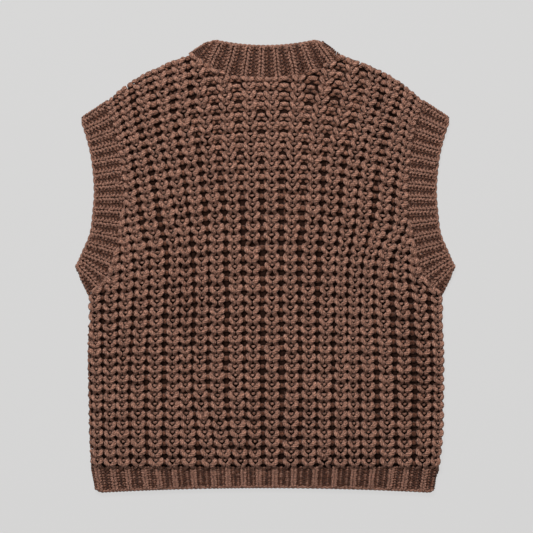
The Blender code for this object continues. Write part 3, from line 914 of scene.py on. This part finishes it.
# ---- the knit's ground
EDGE_FACING = 0.4  # a point whose normal lies this flat is on its piece's edge
TOP_FACING = 0.2  # and an edge that faces up by this share is a top one
PEAK_FACING = 0.6  # the same for the neck rib's folded sides
HEM_FACING = 0.3  # the hem's free edge
HEM_SIDE_FACING = 0.5  # and its sides
SEAM_CLEAR = 0.002  # free side edges start this far below the armholes
NECK_CLEAR = 0.003  # and shoulders this far out from the neck
BODY_INSET = 0.0065  # a ground keeps this far in from its piece's free edges
NECK_INSET = 0.0040
ARMHOLE_INSET = 0.0015
HEM_INSET = 0.0035
BAND_LAP = 0.0015  # a band's ground laps this far under its seam
THIN_BAND = 0.0012  # half the thickness of a folded band's ground
RAISED_SHARE = 0.25  # of a knit column's height, kept in the ground
NECK_FOLD_WAY = (0.673, 0.740)  # across the line on which the neck rib is folded
NECK_FOLD_MARGIN = 0.0050
CORNER_DRAW = 0.005  # the armhole grounds draw in by this much at their corners
CORNER_ROUND = 0.008  # and by less up to this far away


def as_it_is(spot):
    return spot


def inside_neck(spot):
    """Keeps a point in from the neck rib's two folds."""
    x = abs(spot.x)
    down = LENGTH / 2 - spot.y
    across, along = NECK_FOLD_WAY
    past_fold = (x - PEAK_HALF_WIDTH) * across - down * along + NECK_FOLD_MARGIN
    if past_fold > 0.0:
        x -= past_fold * across
        down += past_fold * along
    return Vector((math.copysign(x, spot.x), LENGTH / 2 - down, spot.z))


def inside_armhole(spot):
    """Keeps a point in from an armhole rib's two corners."""
    for _, _, corner_x, corner_down in (ARMHOLE_SECTIONS[0], ARMHOLE_SECTIONS[-1]):
        off = math.hypot(abs(spot.x) - corner_x, LENGTH / 2 - spot.y - corner_down)
        spot.x -= math.copysign(CORNER_DRAW * max(0.0, 1.0 - off / CORNER_ROUND), spot.x)
    return spot


def body_is_free(spot, way):
    """True on side seams and shoulders, and false where a rib joins the body."""
    below_armhole = LENGTH / 2 - spot.y > SIDE_LINE[0].down + SEAM_CLEAR
    on_shoulder = abs(spot.x) > NECK_HALF_WIDTH + NECK_CLEAR
    return (abs(way.x) > EDGE_FACING and below_armhole) or (way.y > TOP_FACING and on_shoulder)


def neck_is_free(spot, way):
    return way.y > TOP_FACING or abs(way.x) > PEAK_FACING


def armhole_is_free(spot, way):
    return way.x * spot.x > 0.0


def hem_is_free(spot, way):
    return way.y < -HEM_FACING or abs(way.x) > HEM_SIDE_FACING


def thin_back(spot):
    base = BACK_BASE + float(lift(np.array([spot.x]), np.array([LENGTH / 2 - spot.y]))[0])
    above = spot.z - base
    return base + min(above, GROUND + RAISED_SHARE * max(0.0, above - KNIT_WALL))


def thin_front(spot):
    return max(spot.z, FRONT_TOP - GROUND)


def thin_back_hem(spot):
    return min(spot.z, BACK_BASE + GROUND)


def thin_band(spot):
    return min(max(spot.z, LAYER_MIDDLE - THIN_BAND), LAYER_MIDDLE + THIN_BAND)


Ground = namedtuple("Ground", "node slot thin inset lap is_free keep_in")
GROUNDS = (
    Ground("back_panel", "chunky_knit", thin_back, BODY_INSET, 0.0, body_is_free, as_it_is),
    Ground("front_panel", "chunky_knit", thin_front, BODY_INSET, 0.0, body_is_free, as_it_is),
    Ground("neck_rib", "rib_knit", thin_band, NECK_INSET, BAND_LAP, neck_is_free, inside_neck),
    *(Ground(node, "rib_knit", thin_band, ARMHOLE_INSET, BAND_LAP, armhole_is_free, inside_armhole)
      for node in ("armhole_rib_left", "armhole_rib_right")),
    Ground("hem_rib_back", "rib_knit", thin_back_hem, HEM_INSET, BAND_LAP, hem_is_free, as_it_is),
    Ground("hem_rib_front", "rib_knit", thin_front, HEM_INSET, BAND_LAP, hem_is_free, as_it_is),
)


def ground_mesh(ground):
    """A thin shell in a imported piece's own form, behind its loops and in from free edges."""
    bm = bmesh.new()
    bm.from_mesh(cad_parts[ground.node].data)
    bmesh.ops.remove_doubles(bm, verts=bm.verts, dist=1e-6)
    bmesh.ops.recalc_face_normals(bm, faces=bm.faces)
    bm.normal_update()
    spots = []
    for vert in bm.verts:
        way = Vector((vert.normal.x, vert.normal.y, 0.0))
        free = way.length > EDGE_FACING and ground.is_free(vert.co, way)
        shift = -ground.inset if free else ground.lap
        spots.append(ground.keep_in(vert.co + way * shift))
    for vert, spot in zip(bm.verts, spots):
        vert.co = (spot.x, spot.y, ground.thin(spot))
    return smooth_mesh(bm, bpy.data.meshes.new(ground.node + "_ground"))


# ---- materials
class Finish:
    """A material built node by node. An input is a value or another node's output."""

    def __init__(self, name, **shader_inputs):
        self.material = bpy.data.materials.new(name)
        self.material.use_nodes = True
        self.shader = self.material.node_tree.nodes["Principled BSDF"]
        self.fill(self.shader, {key.replace("_", " "): value for key, value in shader_inputs.items()})

    def fill(self, node, inputs):
        for key, value in inputs.items():
            if isinstance(value, bpy.types.NodeSocket):
                self.material.node_tree.links.new(value, node.inputs[key])
            else:
                node.inputs[key].default_value = value

    def node(self, kind, output, inputs, **settings):
        made = self.material.node_tree.nodes.new(kind)
        for key, value in settings.items():
            setattr(made, key, value)
        self.fill(made, inputs)
        return made.outputs[output]

    def combine(self, operation, *values):
        return self.node("ShaderNodeMath", 0, dict(enumerate(values)), operation=operation)

    def tint(self, colour, by):
        inputs = {"Factor": 1.0, "A": colour, "B": by}
        return self.node("ShaderNodeMix", "Result", inputs, data_type="RGBA", blend_type="MULTIPLY")

    def spread(self, value, start, end, low, high, shape="SMOOTHSTEP"):
        """low to high, as value goes from start to end."""
        inputs = {"Value": value, "From Min": start, "From Max": end, "To Min": low, "To Max": high}
        return self.node("ShaderNodeMapRange", "Result", inputs, interpolation_type=shape)

    def ramp(self, value, *stops):
        """Colours along a value. A stop is a place and a colour."""
        made = self.material.node_tree.nodes.new("ShaderNodeValToRGB")
        elements = made.color_ramp.elements
        elements.remove(elements[1])
        elements[0].position = stops[0][0]
        elements[0].color = (*stops[0][1], 1.0)
        for place, colour in stops[1:]:
            elements.new(place).color = (*colour, 1.0)
        self.fill(made, {"Fac": value})
        return made.outputs["Color"]

    def noise(self, scale, detail, roughness=0.5):
        inputs = {"Vector": self.place(), "Scale": scale, "Detail": detail, "Roughness": roughness}
        return self.node("ShaderNodeTexNoise", "Fac", inputs)

    def place(self):
        return self.node("ShaderNodeTexCoord", "Object", {})

    def bump(self, height, strength, distance):
        inputs = {"Height": height, "Strength": strength, "Distance": distance}
        self.fill(self.shader, {"Normal": self.node("ShaderNodeBump", "Normal", inputs)})

    def twisted(self, along, around):
        """A wave on the yarn's own map: along to a centimetre, and around to its girth."""
        spot = self.node("ShaderNodeUVMap", "UV", {}, uv_map="yarn")
        parts = self.material.node_tree.nodes.new("ShaderNodeSeparateXYZ")
        self.fill(parts, {0: spot})
        run = self.combine("MULTIPLY", parts.outputs["X"], along * 2 * math.pi)
        both = self.combine("MULTIPLY_ADD", parts.outputs["Y"], around * 2 * math.pi, run)
        return self.combine("SINE", both)


def yarn_material(name, wool):
    """Heathered plied wool: fine fibres, paler and darker flecks, and painted shade in the
    grooves between plies and on deep yarn.
    """
    finish = Finish(name, Roughness=0.92, Specular_IOR_Level=0.15, Sheen_Weight=0.12,
                    Sheen_Roughness=0.5, Sheen_Tint=(0.85, 0.72, 0.68, 1.0))
    pale = [tone * gain for tone, gain in zip(wool.brown, PALE_FLECK)]
    fibre = finish.noise(wool.fibre, 3.0, 0.65)
    colour = finish.ramp(fibre, (0.30, wool.dark), (0.72, wool.brown), (0.86, pale))
    patch = finish.spread(finish.noise(wool.mottle, 2.0, 0.6), 0.3, 0.7, *PATCH_LIGHT, "LINEAR")
    cells = finish.node("ShaderNodeTexVoronoi", "Distance",
                        {"Vector": finish.place(), "Scale": wool.mottle * RING_SCALE})
    ring = finish.spread(cells, 0.12, 0.50, wool.ring, RING_LIGHT)
    mottled = finish.tint(colour, finish.combine("MULTIPLY", patch, ring))

    ply = finish.combine("ABSOLUTE", finish.twisted(wool.twist / 2, wool.plies / 2))
    # Painted shade: groove darkens the grooves between plies.
    groove = finish.spread(ply, 0.0, 0.9, wool.groove, 1.0)
    # Painted shade: the depth attribute darkens deep yarn to SUNK_LIGHT, and the shade ramp tints it
    # red-brown.
    depth = finish.node("ShaderNodeAttribute", "Fac", {}, attribute_name="depth")
    sunk = finish.spread(depth, 0.0, LIT_HEIGHT, SUNK_LIGHT, 1.0)
    shade = finish.ramp(finish.combine("MULTIPLY", sunk, groove),
                        (0.0, (0.10, 0.03, 0.0)), (0.6, (0.61, 0.52, 0.46)), (1.0, (1.0, 1.0, 1.0)))
    finish.fill(finish.shader, {"Base Color": finish.tint(mottled, shade)})

    strand = finish.twisted(wool.twist * STRAND_TWIST, STRANDS)
    relief = finish.combine("MULTIPLY_ADD", strand, STRAND_RELIEF, ply)
    fuzz = finish.combine("MULTIPLY_ADD", fibre, FIBRE_RELIEF, relief)
    finish.bump(fuzz, 1.0, wool.plump)
    return finish.material


def ground_material(name, brown):
    """Painted shade: the inside of the knit, seen between its loops, near-black for its shade."""
    finish = Finish(name, Roughness=1.0, Specular_IOR_Level=0.1)
    noise = finish.noise(420.0, 3.0)
    colour = finish.ramp(noise, (0.35, [tone * 0.35 for tone in brown]), (0.75, brown))
    finish.fill(finish.shader, {"Base Color": colour})
    finish.bump(noise, 0.8, 0.0006)
    return finish.material


# ---- build
chunky_wool = yarn_material("chunky_wool", CHUNKY_WOOL)
rib_wool = yarn_material("rib_wool", RIB_WOOL)
# The two ground materials are painted shade.
inner_wool_shade = ground_material("inner_wool_shade", INNER_WOOL_SHADE)
inner_rib_shade = ground_material("inner_rib_shade", INNER_RIB_SHADE)

thick_yarn = new_profile("thick_yarn", PLIED_SECTION, YARN, YARN)
flat_yarn = new_profile("flat_yarn", round_section(ROUND_SIDES), YARN, YARN * PRESSED_YARN)
fine_yarn = new_profile("fine_yarn", round_section(ROUND_SIDES), RIB_YARN, RIB_YARN)


def add_piece(mesh, material):
    mesh.materials.clear()
    mesh.materials.append(material)
    piece = add_to_scene(mesh.name, mesh)
    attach(piece, "root")
    return piece


def add_body_loops(name, rows, neck_lowest, surface, profile, plain=False):
    paths = body_paths(rows, neck_lowest, surface, plain)
    return add_piece(yarn_mesh(name, paths, profile), chunky_wool)


def add_rib_yarn(name, paths, closed):
    return add_piece(yarn_mesh(name, paths, fine_yarn, closed), rib_wool)


def add_ring(loops_name, edge_name, sections_at, ring):
    """The loops of a folded band and the cord on its free edge."""
    place = folded_place(sections_at, ring.fold)
    loops = add_rib_yarn(loops_name, ring_paths(place, ring), True)
    cord = edge_cord(place, ring.lobes, ring.width, 0.0, 2.0, True)
    return [loops, add_rib_yarn(edge_name, cord, True)]


def add_hem(label, surface):
    """The loops of a hem rib and the cord on its free edge."""
    place = hem_place(surface)
    loops = add_rib_yarn("hem_loops_" + label, hem_paths(place), False)
    cord = edge_cord(place, HEM_CORD_LOBES, HEM_WIDTH, *HEM_CORD_ENDS, False)
    return [loops, add_rib_yarn("hem_edge_" + label, cord, False)]


upper_rows = range(LOWER_HALF_STARTS)
lower_rows = range(LOWER_HALF_STARTS, ROWS)
back_upper = add_body_loops("back_loops_upper", upper_rows, BACK_NECK_DOWN, on_back, thick_yarn)
back_lower = add_body_loops("back_loops_lower", lower_rows, BACK_NECK_DOWN, on_back, thick_yarn)
front_loops = add_body_loops("front_loops", range(ROWS), FRONT_NECK_DOWN, on_front, flat_yarn, True)

neck_pieces = add_ring("neck_loops", "neck_edge", neck_sections, NECK_RING)
for label, side in (("left", -1.0), ("right", 1.0)):
    add_ring(
        "armhole_loops_" + label, "armhole_edge_" + label,
        lambda share, upper, side=side: armhole_sections(side, share), ARMHOLE_RING)
hem_pieces = {"back": add_hem("back", on_hem_back), "front": add_hem("front", on_hem_front)}

for ground in GROUNDS:
    material = inner_wool_shade if ground.slot == "chunky_knit" else inner_rib_shade
    piece = add_piece(ground_mesh(ground), material)
    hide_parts(ground.node)

for profile in (thick_yarn, flat_yarn, fine_yarn):
    bpy.data.objects.remove(profile)


# ---- floor, light and camera
def add_floor():
    """A pale, evenly bright floor."""
    bm = bmesh.new()
    bmesh.ops.create_grid(bm, x_segments=1, y_segments=1, size=FLOOR_SIZE)
    mesh = smooth_mesh(bm, bpy.data.meshes.new("floor"))
    made = add_to_scene("floor", mesh)
    made.location.z = -FLOOR_DROP
    paint = Finish("floor_paint", Base_Color=(0.05, 0.05, 0.05, 1.0), Roughness=1.0,
                   Specular_IOR_Level=0.0, Emission_Color=(1.0, 0.995, 0.99, 1.0),
                   Emission_Strength=0.62)
    mesh.materials.append(paint.material)
    return made


def add_softbox(name, spot, size, power):
    """A round lamp that shines on the middle of the vest."""
    lamp = bpy.data.lights.new(name, "AREA")
    lamp.shape = "DISK"
    lamp.size = size
    lamp.energy = power
    holder = add_to_scene(name, lamp)
    holder.location = spot
    holder.rotation_euler = (-Vector(spot)).to_track_quat("-Z", "Y").to_euler()


floor = add_floor()
add_softbox("key_softbox", spot=(-0.35, 1.6, 2.2), size=0.7, power=75.0)
add_softbox("top_softbox", spot=(0.3, 0.2, 2.6), size=1.2, power=16.0)

scene = bpy.context.scene
scene.view_settings.view_transform = "Standard"
scene.world = bpy.data.worlds.new("studio")
scene.world.use_nodes = True
sky = scene.world.node_tree.nodes["Background"].inputs
sky["Color"].default_value = (1.0, 1.0, 1.0, 1.0)
sky["Strength"].default_value = WORLD_LIGHT

camera_data = bpy.data.cameras.new("camera")
camera_data.lens = CAMERA_LENS
camera_data.sensor_width = CAMERA_SENSOR
camera = add_to_scene("camera", camera_data)
camera.location = CAMERA_PLACE
scene.camera = camera
